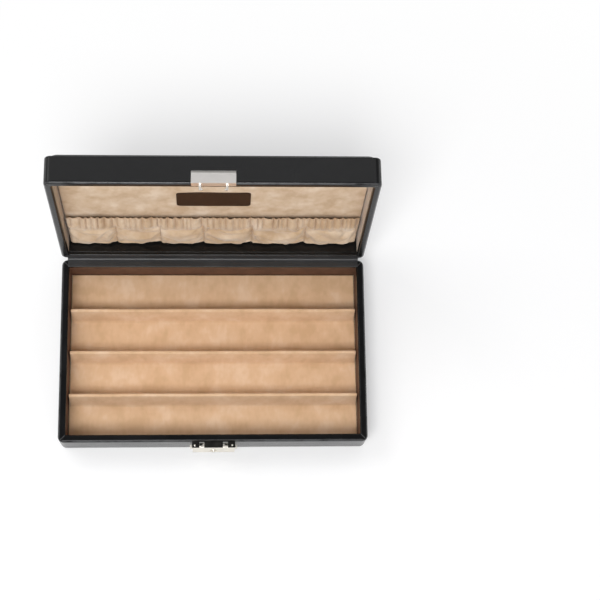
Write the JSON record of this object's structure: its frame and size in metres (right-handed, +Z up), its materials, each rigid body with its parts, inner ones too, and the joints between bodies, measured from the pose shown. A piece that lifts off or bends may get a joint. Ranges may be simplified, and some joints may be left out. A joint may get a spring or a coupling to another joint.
{
  "type": "jewelry box",
  "caption": "Black leather-covered jewellery box with a hinged padded lid, velour compartments, a gathered lid pocket and a push-button lock.",
  "frame": {"origin": "centre of the underside, on the surface that the box stands on", "axes": "+X to the right along the front, +Y to the rear hinge, +Z up; the lock faces -Y"},
  "size_m": [0.255, 0.2019, 0.1903],
  "materials": {
    "black_leather": "smooth black leather, satin",
    "board": "raw fibre board",
    "card": "grey card",
    "beige_velour": "short brushed pile",
    "brown_lining": "matt brown lining cloth",
    "brown_leather": "dark brown leather, plain",
    "foam": "thin upholstery foam",
    "nickel": "polished nickel plate",
    "steel": "plain steel"
  },
  "bodies": {
    "base": {"underside_sheet": "black_leather", "base_leather": "black_leather", "base_floor_board": "board", "base_front_board": "board", "base_rear_board": "board", "base_left_board": "board", "base_right_board": "board", "base_lining_front": "brown_lining", "base_lining_rear": "brown_lining", "base_lining_left": "brown_lining", "base_lining_right": "brown_lining", "tray_card": "card", "tray_velour": "beige_velour", "divider_core_1": "card", "divider_core_2": "card", "divider_core_3": "card", "divider_velour_1": "beige_velour", "divider_velour_2": "beige_velour", "divider_velour_3": "beige_velour", "base_hinge_strip": "black_leather", "base_hinge_leaf_left": "nickel", "base_hinge_leaf_right": "nickel", "hinge_pin_left": "steel", "hinge_pin_right": "steel", "base_hinge_screws": "steel", "lock_back_plate": "steel", "lock_case": "nickel", "lock_rivets": "steel", "lock_spring_left": "steel", "lock_spring_right": "steel"},
    "lid": {"lid_leather": "black_leather", "lid_top_board": "board", "lid_front_board": "board", "lid_rear_board": "board", "lid_left_board": "board", "lid_right_board": "board", "lid_pad": "foam", "lid_panel_leather": "black_leather", "lid_lining_card": "card", "lid_lining_velour": "beige_velour", "lid_lining_front": "beige_velour", "lid_lining_rear": "black_leather", "lid_lining_left": "beige_velour", "lid_lining_right": "beige_velour", "pocket": "beige_velour", "label_patch": "brown_leather", "lid_hinge_strip": "black_leather", "lid_hinge_leaf_left": "nickel", "lid_hinge_leaf_right": "nickel", "lid_hinge_screws": "steel", "lock_flap": "nickel", "hook_left": "nickel", "hook_right": "nickel", "flap_rivets": "steel"},
    "slider_left": {"slider_left": "nickel"},
    "slider_right": {"slider_right": "nickel"},
    "key": {"key_barrel": "nickel", "key_cam": "steel"}
  },
  "joints": [
    {"name": "lid_hinge", "type": "hinge", "parent": "base", "child": "lid", "pos_m": [0, 0.07835, 0.0303], "axis": [1, 0, 0], "range_deg": [0, 95]},
    {"name": "slider_left_press", "type": "slide", "parent": "base", "child": "slider_left", "axis": [1, 0, 0], "range_m": [0, 0.0016], "stiffness_N_per_m": 300, "springref_m": -0.003, "deforming": ["lock_spring_left"]},
    {"name": "slider_right_press", "type": "slide", "parent": "base", "child": "slider_right", "axis": [-1, 0, 0], "range_m": [0, 0.0016], "stiffness_N_per_m": 300, "springref_m": -0.003, "deforming": ["lock_spring_right"]},
    {"name": "key_turn", "type": "hinge", "parent": "base", "child": "key", "pos_m": [0, -0.07775, 0.0176], "axis": [0, 1, 0], "range_deg": [0, 90]}
  ]
}
